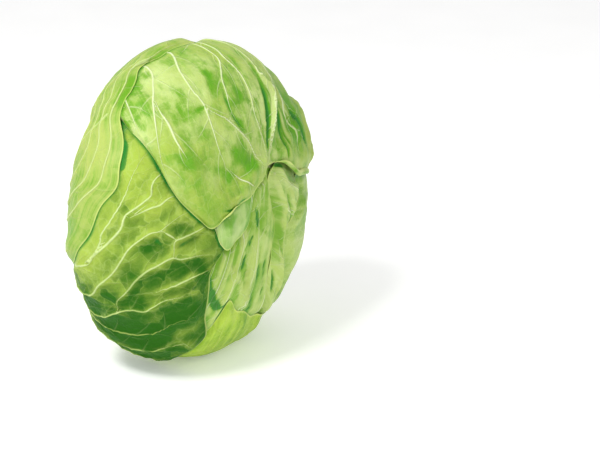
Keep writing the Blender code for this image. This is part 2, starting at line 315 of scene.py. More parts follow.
stump = bmesh.new()
top_radius = STEM_RADIUS * STEM_TAPER
bmesh.ops.create_cone(
    stump, cap_ends=True, segments=96, radius1=STEM_RADIUS, radius2=top_radius, depth=STEM_LENGTH
)
rim = [e for e in stump.edges if all(v.co.z < 0 for v in e.verts)]
bmesh.ops.bevel(stump, geom=rim, offset=STEM_BEVEL, segments=4, affect="EDGES", profile=0.5, material=-1)
for width in CUT_RINGS:
    bmesh.ops.inset_region(stump, faces=end_faces(stump), thickness=width, use_even_offset=True)
for level in SIDE_RINGS:
    whole = stump.verts[:] + stump.edges[:] + stump.faces[:]
    bmesh.ops.bisect_plane(stump, geom=whole, plane_co=(0, 0, level), plane_no=(0, 0, 1))
bmesh.ops.poke(stump, faces=end_faces(stump))
points = np.array([v.co[:] for v in stump.verts])
across = np.hypot(points[:, 0], points[:, 1])
turn = np.degrees(np.arctan2(points[:, 1], points[:, 0]))
on_side = smooth((across / STEM_RADIUS - 0.80) / 0.12)
spiral = points[:, 2] * 1000.0 + turn * SCAR_PITCH_MM / 360.0 + 0.6 * np.sin(np.radians(turn * 3.0))
ridge = np.exp(-((((spiral % SCAR_PITCH_MM) - 2.2) / 0.7) ** 2))
ridge = ridge * (0.5 + 0.5 * np.sin(np.radians(turn * 2.0 + points[:, 2] * 9e4)))
height = (SCAR_HEIGHT * ridge + SIDE_ROUGHNESS * rough_noise(points, 0.006, 5)) * on_side
near_cut = smooth((-points[:, 2] - STEM_LENGTH / 2 + 0.0012) / 0.001)
points[:, :2] *= (1.0 + height / np.maximum(across, 0.002))[:, None]
points[:, 2] += CUT_ROUGHNESS * rough_noise(points, 0.005, 6) * near_cut
cut_face = near_cut * smooth((STEM_RADIUS * 0.98 - across) / 0.001)
points[:, 2] -= HEART_SEAT + STEM_GAP + STEM_LENGTH / 2
stem = put_in_place("stem_stump", stump, laid_down(points), stem_finish, "stem")
keep_on_corners(stem, {"ring_mm": across * 1000.0, "cut_face": cut_face, "scar": ridge * on_side * 0.6})


# The wrapper leaves: thin waxy blades that grow from the ring round the stem, each over the ones
# inside it. Their outlines come first, from the innermost to the outermost, because every blade
# lies on the others.
BLADE = 0.0011
CLEARANCE = 0.0015
HEART_CLEARANCE = 0.0020
DRAPE_ANGLE = 10.0
RING_ANGLE = 15.5
MARGIN_BAND = 0.14
MARGIN_SAMPLES = 72
RIB_BUNDLING = 1.5
FOOT_SAMPLES = 6
ROW_SAMPLES = 200
MARGIN_CROWD = 1.35
STACK_POWER = 6
BATCH = 4000
GRID_SKIP = 3


@dataclass
class Leaf:
    """A leaf's outline. The margin runs from its right side, over its tip, to its left side.

    Each curl of the margin has its middle and width across the leaf, and a height.
    """

    name: str
    stem_azimuth: float
    throat: tuple
    reach: tuple
    margin: tuple
    lift: float
    seed: int
    spread: float = 42.0
    flare: float = 50.0
    wave: float = 0.020
    curls: tuple = ()


LEAVES = (
    Leaf(
        "leaf_crown_lower", 160, (140, 166), (95, 172),
        ((112, 98), (84, 96), (60, 100), (40, 94), (32, 78), (28, 46), (27, -10), (34, -66), (52, -108),
         (78, -126), (104, -134)),
        lift=0.0004, seed=12,
    ),
    Leaf(
        "leaf_crown_right", 236, (140, 236), (95, 238),
        ((110, 196), (84, 192), (64, 194), (52, 194), (43, 193), (34, 199), (26, 211), (17, 234),
         (10, 272), (12, 322), (24, -24), (44, -48), (74, -62), (110, -66)),
        lift=0.0002, seed=13, curls=((-0.33, 0.06, 0.0012),),
    ),
    Leaf(
        "leaf_right", 292, (142, 282), (100, 268),
        ((118, 222), (92, 212), (72, 209), (58, 211), (44, 213), (34, 221), (30, 232), (34, 246),
         (43, 273), (52, 294), (70, 312), (94, 324), (118, 334)),
        spread=44, lift=0.0005, seed=14,
    ),
    Leaf(
        "leaf_bottom", 200, (142, 196), (105, 188),
        ((122, 134), (94, 136), (76, 146), (67, 151), (60, 149), (52, 148), (54, 159), (58, 170),
         (63, 183), (68, 198), (80, 212), (98, 226), (122, 242)),
        lift=0.0008, seed=15,
    ),
    Leaf(
        "leaf_lower_left", 122, (140, 122), (98, 118),
        ((122, 64), (98, 42), (76, 42), (58, 56), (44, 74), (36, 92), (37, 104), (44, 111), (51, 117),
         (56, 127), (60, 140), (67, 151), (76, 154), (94, 156), (122, 170)),
        lift=0.0007, seed=16,
    ),
    Leaf(
        "leaf_under_top", -2, (140, -2), (92, -6),
        ((118, -40), (92, -34), (66, -28), (44, -20), (28, -4), (19, 22), (16, 48), (16, 70), (17, 92),
         (21, 104), (27, 107), (34, 108), (40, 109), (43, 102), (45, 90), (51, 76), (60, 62), (74, 48),
         (92, 36), (118, 34)),
        flare=36.0, lift=0.001, wave=0.007, seed=11,
    ),
    Leaf(
        "leaf_top", -20, (142, -16), (92, -6),
        ((118, -72), (94, -86), (68, -88), (54, -84), (43, -78), (34, -65), (31, -46), (29, -27), (26, -9),
         (19, 0), (19, 18), (20, 38), (22, 56), (29, 75), (36, 84), (41, 85), (47, 88), (53, 82), (60, 74),
         (67, 66), (74, 58), (80, 53), (86, 49), (95, 43), (106, 38), (120, 40)),
        spread=44, lift=0.0007, seed=17,
        curls=((0.25, 0.06, 0.0022), (0.5, 0.07, 0.0009), (-0.37, 0.1, 0.001)),
    ),
    Leaf(
        "leaf_left", 66, (140, 66), (114, 66),
        ((126, -24), (110, -24), (98, -16), (92, -6), (91, 5), (92, 14), (95, 20), (92, 28), (91, 35),
         (90, 43), (88, 52), (86, 62), (86, 70), (90, 77), (93, 83), (98, 90), (104, 99), (112, 107),
         (126, 114)),
        lift=0.0002, seed=18, curls=((-0.15, 0.12, 0.0007), (0.26, 0.05, 0.0008)),
    ),
)
LOWEST_LEAF = 3


def smooth_curve(knots, at):
    """A cubic curve through the knots; at runs from -1 to 1 in step with the length along them."""
    lengths = np.linalg.norm(np.diff(knots, axis=0), axis=1)
    place = np.concatenate([[0.0], np.cumsum(lengths)])
    place = 2.0 * place / place[-1] - 1.0
    slope = np.gradient(knots, place, axis=0)
    i = np.clip(np.searchsorted(place, at, side="right") - 1, 0, len(place) - 2)
    gap = (place[i + 1] - place[i])[..., None]
    x = (at - place[i])[..., None] / gap
    start, end = knots[i], knots[i + 1]
    return (
        start * (1 + 2 * x) * (1 - x) ** 2
        + end * x * x * (3 - 2 * x)
        + gap * slope[i] * x * (1 - x) ** 2
        - gap * slope[i + 1] * x * x * (1 - x)
    )


def margin_wave(leaf, s):
    """How far the margin stands out or in, as a share of the leaf's length."""
    phase = leaf.seed * 1.7
    broad, short = 0.6 * np.sin(7.0 * s + phase), 0.5 * np.sin(15.0 * s + 2.0 * phase)
    return leaf.wave * (broad + short + 0.4 * np.sin(29.0 * s + 3.0 * phase))


def fan(leaf, s, t):
    """Directions on the leaf. s runs across its ribs from -1 to 1, t from the stem to the margin."""
    s, t = np.broadcast_arrays(np.asarray(s, float), np.asarray(t, float))
    root = direction(180.0 - RING_ANGLE, leaf.stem_azimuth + leaf.spread * s)
    wing = direction(leaf.throat[0], leaf.throat[1] + leaf.flare * s)
    side = np.abs(s)[..., None] ** RIB_BUNDLING
    bow = unit(wing * side + direction(*leaf.reach) * (1.0 - side))
    edge = unit(smooth_curve(direction(*np.array(leaf.margin, float).T), s))
    r = (t * (1.0 + margin_wave(leaf, s)))[..., None]
    return unit(root * (1 - r) ** 2 + 2 * r * (1 - r) * bow + edge * r * r)


def outline(leaf):
    """Directions once round the leaf's edge."""
    side = np.linspace(0.0, 1.0, MARGIN_SAMPLES // 4, endpoint=False)
    tip = np.linspace(-1.0, 1.0, MARGIN_SAMPLES, endpoint=False)
    foot = np.linspace(1.0, -1.0, FOOT_SAMPLES, endpoint=False)
    return np.concatenate(
        [fan(leaf, -1.0, side), fan(leaf, tip, 1.0), fan(leaf, 1.0, 1.0 - side), fan(leaf, foot, 0.0)]
    )


OUTLINES = [outline(leaf) for leaf in LEAVES]


def inside_angle(which, d):
    """Angle from each direction to a leaf's edge: positive on the leaf, negative off it."""
    edge = OUTLINES[which]
    step = np.roll(edge, -1, axis=0) - edge
    middle = unit(edge.mean(axis=0))
    across = unit(np.cross(middle, (0.3, 0.5, 0.8)))
    upward = np.cross(middle, across)

    def flat(v):
        scale = 2.0 / (1.0 + v @ middle).clip(1e-6)
        return (v @ across) * scale, (v @ upward) * scale

    ex, ey = flat(edge)
    fx, fy = np.roll(ex, -1), np.roll(ey, -1)
    angles = []
    for part in np.array_split(d, len(d) // BATCH + 1):
        away = part[:, None, :] - edge[None]
        along = np.clip((away * step).sum(-1) / (step * step).sum(-1), 0.0, 1.0)
        distance = np.linalg.norm(away - along[..., None] * step, axis=-1).min(axis=1)
        px, py = flat(part)
        crosses = (ey[None] > py[:, None]) != (fy[None] > py[:, None])
        where = ex + (py[:, None] - ey) * (fx - ex) / np.where(fy == ey, 1e-12, fy - ey)
        inside = (crosses & (px[:, None] < where)).sum(axis=1) % 2 == 1
        degrees = np.degrees(2.0 * np.arcsin(np.clip(distance / 2.0, 0.0, 1.0)))
        angles.append(degrees * np.where(inside, 1.0, -1.0))
    return np.concatenate(angles)


def bed_height(index, angles):
    """Height above the heart of the bed that the leaf lies on: every leaf inside it, and its clearance."""
    masks = [smooth(1.0 + angles[j] / DRAPE_ANGLE) for j in range(index)]
    heights = []
    for i in range(index + 1):
        stack = np.full(len(angles[0]), HEART_CLEARANCE**STACK_POWER)
        for j in range(i):
            stack += (masks[j] * (heights[j] + BLADE + CLEARANCE)) ** STACK_POWER
        heights.append(stack ** (1.0 / STACK_POWER))
    return heights[index]


def margin_lift(leaf, s, t):
    """How far the last stretch of the blade curls clear of its bed."""
    phase = leaf.seed * 2.3
    height = leaf.lift * (0.55 + 0.30 * np.sin(11.0 * s + phase) + 0.25 * np.sin(23.0 * s + 2.0 * phase))
    for middle, width, extra in leaf.curls:
        height = height + extra * np.exp(-(((s - middle) / width) ** 2))
    return np.maximum(height, 0.0) * smooth((t - 1.0 + MARGIN_BAND) / MARGIN_BAND)


def even_rows(leaf, s, rows):
    """Where the rows of faces lie along the rib at s, closer near the margin, and how far from it."""
    t = np.linspace(0.0, 1.0, ROW_SAMPLES)
    d = fan(leaf, s, t)
    run = np.linalg.norm(np.diff(d * heart_radius(d)[:, None], axis=0), axis=1)
    place = np.concatenate([[0.0], np.cumsum(run)])
    even = place[-1] * (1.0 - np.linspace(1.0, 0.0, rows + 1) ** MARGIN_CROWD)
    return np.interp(even, place, t), 1000.0 * (place[-1] - even)


def coarse_places(count):
    """Every third line of the grid, with both ends."""
    return np.unique(np.rint(np.linspace(0, count, count // GRID_SKIP + 1)).astype(int))


def refined(values, columns, rows):
    """Brings values on every third line of the grid to all of its corners."""
    for axis, count in ((0, columns), (1, rows)):
        at = coarse_places(count)
        every = np.arange(count + 1)
        i = np.clip(np.searchsorted(at, every, side="right") - 1, 0, len(at) - 2)
        share = (every - at[i]) / (at[i + 1] - at[i])
        values = np.moveaxis(values, axis, 0)
        share = share.reshape((-1,) + (1,) * (values.ndim - 1))
        values = np.moveaxis(values[i] * (1.0 - share) + values[i + 1] * share, 0, axis)
    return values


# Ribs and veins: stiff pale strands that stand out on a leaf's outer face, with the blade puckered
# between them. The main ribs are listed by their places across and along the leaf, or fan out
# evenly, and side veins branch off them.
HEAD_MM = 100.0
RIB_STEP_MM = 0.4
TRACE_SAMPLES = 400
MIDRIB_WIDTHS_MM = (28.4, 1.4)
MIDRIB_HEIGHTS_MM = (4.3, 0.3)
RIB_END_TAPER = 0.22
LATE_START = 0.6
VEIN_WIDTHS_MM = (1.0, 0.5)
VEIN_HEIGHTS_MM = (0.34, 0.10)
VEIN_TURN = (34, 58)
VEIN_CLEARANCE_MM = 0.7
VEIN_OWN_RIB_MM = 4.0
VEIN_LEAST_STEPS = 8
RIB_BARE_TIP_MM = 5.0
RIB_SWAY = 0.03
CREASE_SAMPLES = 60


def laid(*paths):
    """Ribs whose places across and along the leaf are given in thousandths."""
    return [np.array(path) / 1000.0 for path in paths]


def trace(leaf, path):
    """Directions at close steps along a rib."""
    knots = np.array(path, float)
    places = smooth_curve(knots, np.linspace(-1.0, 1.0, TRACE_SAMPLES))
    d = fan(leaf, places[:, 0], places[:, 1])
    run = np.concatenate([[0.0], np.cumsum(np.linalg.norm(np.diff(d, axis=0), axis=1))]) * HEAD_MM
    at = np.arange(0.0, run[-1], RIB_STEP_MM)
    return unit(np.stack([np.interp(at, run, d[:, k]) for k in range(3)], axis=-1))


class Strands:
    """All the ribs of one rank: where they run, how wide and how high they are."""

    def __init__(self):
        self.runs, self.widths, self.heights = [], [], []

    def add(self, run, width, height, taper=(0.0, 0.0)):
        """Adds one strand. It narrows over the shares of its length that taper gives for its ends."""
        share = np.linspace(0.0, 1.0, len(run))
        start, end = smooth(share / max(taper[0], 1e-6)), smooth((1.0 - share) / max(taper[1], 1e-6))
        self.runs.append(run)
        widths = width(share) if callable(width) else between(width, share)
        self.widths.append(widths * (0.15 + 0.85 * start * end))
        self.heights.append(height(share) if callable(height) else between(height, share))

    def tree(self):
        points = np.concatenate(self.runs)
        made = kdtree.KDTree(len(points))
        for i, p in enumerate(points):
            made.insert(p, i)
        made.balance()
        return made

    def nearest(self, d):
        """For each direction: millimetres to the nearest strand, its width and height, and its side."""
        tree = self.tree()
        widths, heights = np.concatenate(self.widths), np.concatenate(self.heights)
        middles = np.concatenate(self.runs)
        ahead = np.concatenate([np.gradient(run, axis=0) for run in self.runs])
        found = [tree.find(p)[1:] for p in d]
        which = np.array([i for i, _ in found])
        gap = np.array([gap for _, gap in found]) * HEAD_MM
        offset = (unit(np.cross(middles, ahead))[which] * (d - middles[which])).sum(-1) * HEAD_MM
        return gap, widths[which], heights[which], np.clip(offset / (0.5 * widths[which]), -12.0, 12.0)


def branch(strands, ribs, spacing, length, seed):
    """Side veins that leave the ribs on either side by turns, bow to the margin and end at the next rib."""
    rng = random.Random(seed)
    taken = Strands()
    for run in ribs:
        taken.add(run, (1, 1), (1, 1))
    tree = taken.tree()
    for run in ribs:
        at = rng.uniform(0.2, 1.0) * spacing + 0.18 * len(run) * RIB_STEP_MM
        hand = rng.choice((-1, 1))
        while at < len(run) * RIB_STEP_MM - RIB_BARE_TIP_MM:
            k = int(at / RIB_STEP_MM)
            p = run[k]
            forward = unit(run[min(k + 4, len(run) - 1)] - run[k - 4])
            angle = math.radians(rng.uniform(*VEIN_TURN))
            heading = forward * math.cos(angle) + np.cross(p, forward) * hand * math.sin(angle)
            wander, want = rng.uniform(-0.02, 0.02), length * rng.uniform(0.6, 1.3)
            points, gone = [p], 0.0
            while gone < want:
                p = unit(p + heading * (RIB_STEP_MM / HEAD_MM))
                bend = forward * 0.010 + np.cross(p, heading) * (wander + 0.02 * math.sin(gone * 0.9 + k))
                heading = heading + bend
                heading = unit(heading - p * (heading @ p))
                points.append(p)
                gone += RIB_STEP_MM
                if gone > VEIN_OWN_RIB_MM and tree.find(p)[2] * HEAD_MM < VEIN_CLEARANCE_MM:
                    break
            if len(points) > VEIN_LEAST_STEPS:
                strands.add(np.array(points), VEIN_WIDTHS_MM, VEIN_HEIGHTS_MM, (0.0, 0.6))
            at += spacing * rng.uniform(0.6, 1.3)
            hand = -hand


def fan_ribs(count, seed):
    """Ribs that fan out evenly from the stem to the margin, each a little crooked."""
    rng = random.Random(seed)
    paths = []
    for k in range(count):
        s = -1.0 + (2 * k + 1) / count
        off = [rng.uniform(-RIB_SWAY, RIB_SWAY) for _ in range(4)]
        end = rng.uniform(0.93, 1.0)
        across = (s, s + 0.5 * off[0], s + off[1], s + off[2], s + off[3])
        paths.append([(x, share * end) for x, share in zip(across, (0.0, 0.25, 0.5, 0.75, 1.0))])
    return paths


def lay_strands(leaf, ribs, middle, thick_until, strong, raised, spacing, vein_length):
    """The leaf's midrib, its main ribs and the side veins that branch off them."""
    midrib, main, side = Strands(), Strands(), Strands()

    def thinned(ends):
        return lambda x: (ends[0] - ends[1]) * (1.0 - smooth(x * middle[-1][1] / thick_until)) + ends[1]

    midrib.add(trace(leaf, middle), thinned(MIDRIB_WIDTHS_MM), thinned(MIDRIB_HEIGHTS_MM))
    runs = [trace(leaf, path) for path in ribs]
    for path, run in zip(ribs, runs):
        start = 0.5 if path[0][1] > LATE_START else 0.1
        main.add(run, lambda x: between(strong, x**0.7), raised, (start, RIB_END_TAPER))
    branch(side, runs, spacing, vein_length, leaf.seed)
    return midrib, main, side


def near_path(d, path):
    """Millimetres from each direction to a path over the head, and 1 there but less near its ends."""
    knots = direction(*np.array(path, float).T)
    curve = unit(smooth_curve(knots, np.linspace(-1.0, 1.0, CREASE_SAMPLES)))
    share = np.linspace(0.0, 1.0, CREASE_SAMPLES)
    swell = smooth(np.minimum(1.0, np.minimum(share, 1.0 - share) * 3.4))
    away = np.arccos(np.clip(d @ curve.T, -1.0, 1.0)) * HEAD_MM
    nearest = away.argmin(axis=1)
    return away[np.arange(len(d)), nearest], swell[nearest]


def creased(d, creases):
    """Single folds: each has a path, a width, a height below zero for a valley, and the shade painted along
    it, below zero for a painted highlight.
    """
    relief, dark = np.zeros(len(d)), np.zeros(len(d))
    for path, width, height, shade in creases:
        gap, swell = near_path(d, path)
        shape = swell * np.exp(-((gap / (width * (0.3 + 0.7 * swell))) ** 2))
        relief += height * shape
        dark += shade * shape
    return relief, dark


def patched(d, patches):
    """Patches of colour: each has a path, a width, and how dark it is, below zero for a pale one."""
    depth = np.zeros(len(d))
    for path, width, shade in patches:
        gap, swell = near_path(d, path)
        depth += shade * swell * np.exp(-((gap / width) ** 2))
    return depth


def soft_pleats(low, rise, count, sway, ripple):
    """Rounded pleats that run along the leaf past its foot, bent by a sway and a ripple."""

    def height(s, t):
        bend = 0.5 * np.sin(sway[0] * t + sway[1]) + ripple[0] * np.sin(ripple[1] * s + ripple[2] * t)
        return smooth(3.0 * (t - 0.3)) * (low + rise * np.abs(np.cos(np.pi * (count * s + bend))) ** 4)

    return height


def blurred(values, times):
    """Averages a grid of values with its neighbours a number of times."""
    for _ in range(times):
        wide = np.pad(values, 1, mode="edge")
        beside = wide[:-2, 1:-1] + wide[2:, 1:-1] + wide[1:-1, :-2] + wide[1:-1, 2:]
        values = (wide[1:-1, 1:-1] * 2 + beside) / 6.0
    return values


def rolled(faces, d, grid, s, tip_mm, rolls):
    """Rolls the margin outwards. A roll has its middle and width across the leaf, a length and a radius."""
    for middle, width, length, radius in rolls:
        zone = length * np.exp(-(((s - middle) / width) ** 4))
        into = 0.001 * np.maximum(zone - tip_mm, 0.0)
        angle = into * 1000.0 / radius
        forward = unit(np.gradient(faces[0].reshape(*grid, 3), axis=1).reshape(-1, 3))
        outward = unit(d - forward * (d * forward).sum(-1, keepdims=True))
        for k, face in enumerate(faces):
            bend = 0.001 * radius + (np.linalg.norm(faces[0] - faces[1], axis=1) if k == 0 else 0.0)
            shift = forward * (bend * np.sin(angle) - into)[:, None]
            shift = shift + outward * (bend * (1.0 - np.cos(angle)))[:, None]
            faces[k] = face + shift * (into > 0.0)[:, None]
    return faces


# The leaves' flesh: two greens in clouds, with pale ribs, a fine net of veins and a whitish waxy coat that
# also stands in for highlight on pale crests. It is a little see-through and yellower at the margin, with
# painted shade in folds and slits and painted shadow where another leaf covers it.
SHADOW_GREEN = tone(0.02, 0.19, 0.025)
FOOT_WHITE = tone(0.70, 0.80, 0.46)
WAX_AND_HIGHLIGHT_WHITE = tone(0.57, 0.67, 0.29)
RIM_YELLOW = tone(0.68, 0.76, 0.24)
STRIPED = 0.8
OFF = (0.0, 0.0, 0.0)


def toned(first, second, share):
    """A colour between two colours."""
    return tone(*((1.0 - share) * a + share * b for a, b in zip(first[:3], second[:3])))


def leaf_finish(
    name, pale, deep, rib, seed, bloom_and_highlight, stripes, patches=1.0, net=0.5, coat=0.05, low=OFF, dusk=OFF,
    halo=0.25, cellular=0.3, vein_white=0.42, rib_green=0.5, rim=0.5, sheen=0.16, grainy=1.3, blister=0.3,
    cells=125.0, tuck_shadow_amount=0.6, hollows=0.9, lengthwise=True,
):
    """A leaf's material. low paints shade near the floor and dusk darkens one side, partly deeper green and
    partly painted shade: from, to and how much.
    """
    fixed = {"Subsurface Weight": 0.18, "Subsurface Scale": 0.003, "Subsurface Radius": (0.7, 1.0, 0.25)}
    fixed |= {"IOR": 1.43, "Coat Roughness": 0.35, "Specular IOR Level": sheen}
    material, start, shader = new_finish(name, fixed)
    across, along, painted_fold_shading = start.attribute("across"), start.attribute("along"), start.attribute("painted_fold_shading")
    rib_mm, vein_mm = start.attribute("rib_mm"), start.attribute("vein_mm")
    rim_mm, cover_mm = start.attribute("rim_mm"), start.attribute("cover_mm")
    shifted = {"Vector": start.place(), "Location": (seed * 0.37, seed * 0.21, seed * 0.11)}
    place = start.node("ShaderNodeMapping", {}, shifted)
    cloud, fine = place.noise(22.0, 3.0, 0.55), place.noise(700.0, 3.0)
    grain = place.noise(110.0, 6.0, 0.68)
    warp = {0: place.noise(120.0, 2.0, out=1), 1: (0.010, 0.010, 0.010), 2: place}
    bent = start.node("ShaderNodeVectorMath", {"operation": "MULTIPLY_ADD"}, warp)
    wide_cells, small_cells = bent.walls(cells, 0.9), bent.walls(360.0, 0.9)
    inside = {"Vector": bent, "Scale": cells, "Randomness": 0.9}
    cell_tone = start.node("ShaderNodeTexVoronoi", {}, inside, out=1)
    cell_tone = start.node("ShaderNodeSeparateColor", {}, {0: cell_tone})
    wide, long = (across * 34.0, along * 2.5) if lengthwise else (along * 90.0, across * 2.5)
    lines = start.node("ShaderNodeCombineXYZ", {}, {0: wide, 1: long, 2: seed * 0.7})
    streak, mottle = lines.noise(1.0, 4.0, 0.65), lines.noise(0.55, 5.0, 0.6)

    net_wide, net_small = wide_cells.step(0.07, 0.0), small_cells.step(0.10, 0.0)
    veins = abs(start.attribute("vein_side")).step(1.7, 0.3) * vein_mm.step(1.4, 0.7)
    ribs = abs(start.attribute("rib_side")).step(1.4, 0.3) * rib_mm.step(1.4, 0.7)
    ribs = ribs.math("MAXIMUM", ribs, start.attribute("midrib_mm").step(0.8, -0.6))
    glow = rib_mm.step(4.2, -0.5) * halo + vein_mm.step(1.6, 0.0) * (0.25 * halo)

    depth = (cloud - 0.5) * (3.0 * patches) + (mottle - 0.5) * (2.0 * patches) + 0.42
    # Painted shade deepens the tone in fold valleys and slits, and painted highlight lightens the crests.
    depth = depth + painted_fold_shading * hollows + (streak - 0.5) * stripes * 1.6 - glow
    depth = depth + (cell_tone - 0.5) * cellular + (grain - 0.5) * grainy
    # Painted shade within a few millimetres of the margin of a leaf lying over this one; then the patches.
    depth = depth + cover_mm.step(4.0, 0.3) * 0.35 + start.attribute("patch")
    # dusk: partly deeper green and partly painted shade on one side.
    if dusk[2]:
        depth = depth + (across + (cloud - 0.5) * 0.12).step(dusk[0], dusk[1]) * dusk[2] - 0.3 * dusk[2]
    # low: painted shade, darker towards the floor.
    if low[2]:
        height = start.node("ShaderNodeSeparateXYZ", {}, {0: start.place()}, out=2)
        depth = depth + ((height + (cloud - 0.5) * 0.05).step(low[0], low[1]) - 0.35) * low[2]

    flesh = depth.step(-0.25, 1.35).blend(pale, deep)
    netted = (net_wide * 0.75 + net_small * 0.35) * depth.step(1.8, 0.0) * net
    flesh = netted.blend(flesh, toned(pale, rib, 0.45))
    flesh = (veins * vein_white).blend(flesh, toned(pale, rib, 0.65))
    strand = (depth.step(0.2, 1.4) * rib_green).blend(rib, pale)
    flesh = (ribs * (cloud * 0.9 + 0.40)).blend(flesh, strand)
    flesh = along.step(0.42, 0.10).blend(flesh, FOOT_WHITE)
    # Painted shade: valleys and slits turn shadow green.
    shade = (painted_fold_shading + (mottle - 0.5) * 0.9 + (grain - 0.5) * 0.6).step(0.5, 1.2)
    flesh = (shade * painted_fold_shading.step(0.2, 0.6) * 0.8).blend(flesh, SHADOW_GREEN)
    frost = place.noise(14.0, 5.0, 0.6)
    if stripes > STRIPED:
        frost = frost * 0.35 + streak * 0.65
    # A whitish waxy coat on the paler places, which also stands in for highlight on pale crests.
    wax_and_highlight = frost.step(0.38, 0.68) * depth.step(0.90, 0.15) * bloom_and_highlight
    flesh = wax_and_highlight.blend(flesh, WAX_AND_HIGHLIGHT_WHITE)
    # Painted shadow: shadow green along the margin of a leaf that lies over this one.
    painted_tuck_shadow = (cover_mm + (cloud - 0.5) * 9.0).step(2.4, -0.8) * tuck_shadow_amount
    flesh = painted_tuck_shadow.blend(flesh, SHADOW_GREEN)
    flesh = (rim_mm.step(1.3, 0.2) * rim).blend(flesh, RIM_YELLOW)

    bumps = ribs * 0.9 + veins * 0.5 + wide_cells.step(0.0, 0.45) * blister + grain * 0.9
    bumps = bumps + net_wide * (0.5 * net) + net_small * (0.25 * net)
    bumps = bumps + fine * 0.18 + mottle * 0.6 + streak * (1.2 * stripes)
    feed(
        start,
        shader,
        Base_Color=flesh,
        Roughness=mottle * 0.22 + 0.31 + wax_and_highlight * 0.25,
        Coat_Weight=(1.0 - wax_and_highlight) * coat,
        Normal=bumps.bump(0.65, 0.0008),
    )
    return material


# The blades: each leaf is a flat grid laid on the head as the inner face, then extruded to the outer
# one. Ribs, puckers, folds and pleats raise the outer face, and the margin settles on the leaf below.
MARGIN_BLADE = 0.00055
RIB_FLESH = 0.0006
SETTLE = 0.0022
SETTLE_REACH_MM = 11.0
MM_PER_DEGREE = 1.7
UNCOVERED = -90.0
PUCKER_REACH_MM = 3.2
DEEPEST_FOLD_MM = 2.0
COVERED_ROOM_MM, EDGE_ROOM_MM, OPEN_ROOM_MM = 0.25, 0.85, 14.0
STORED_REACH_MM = 9.0


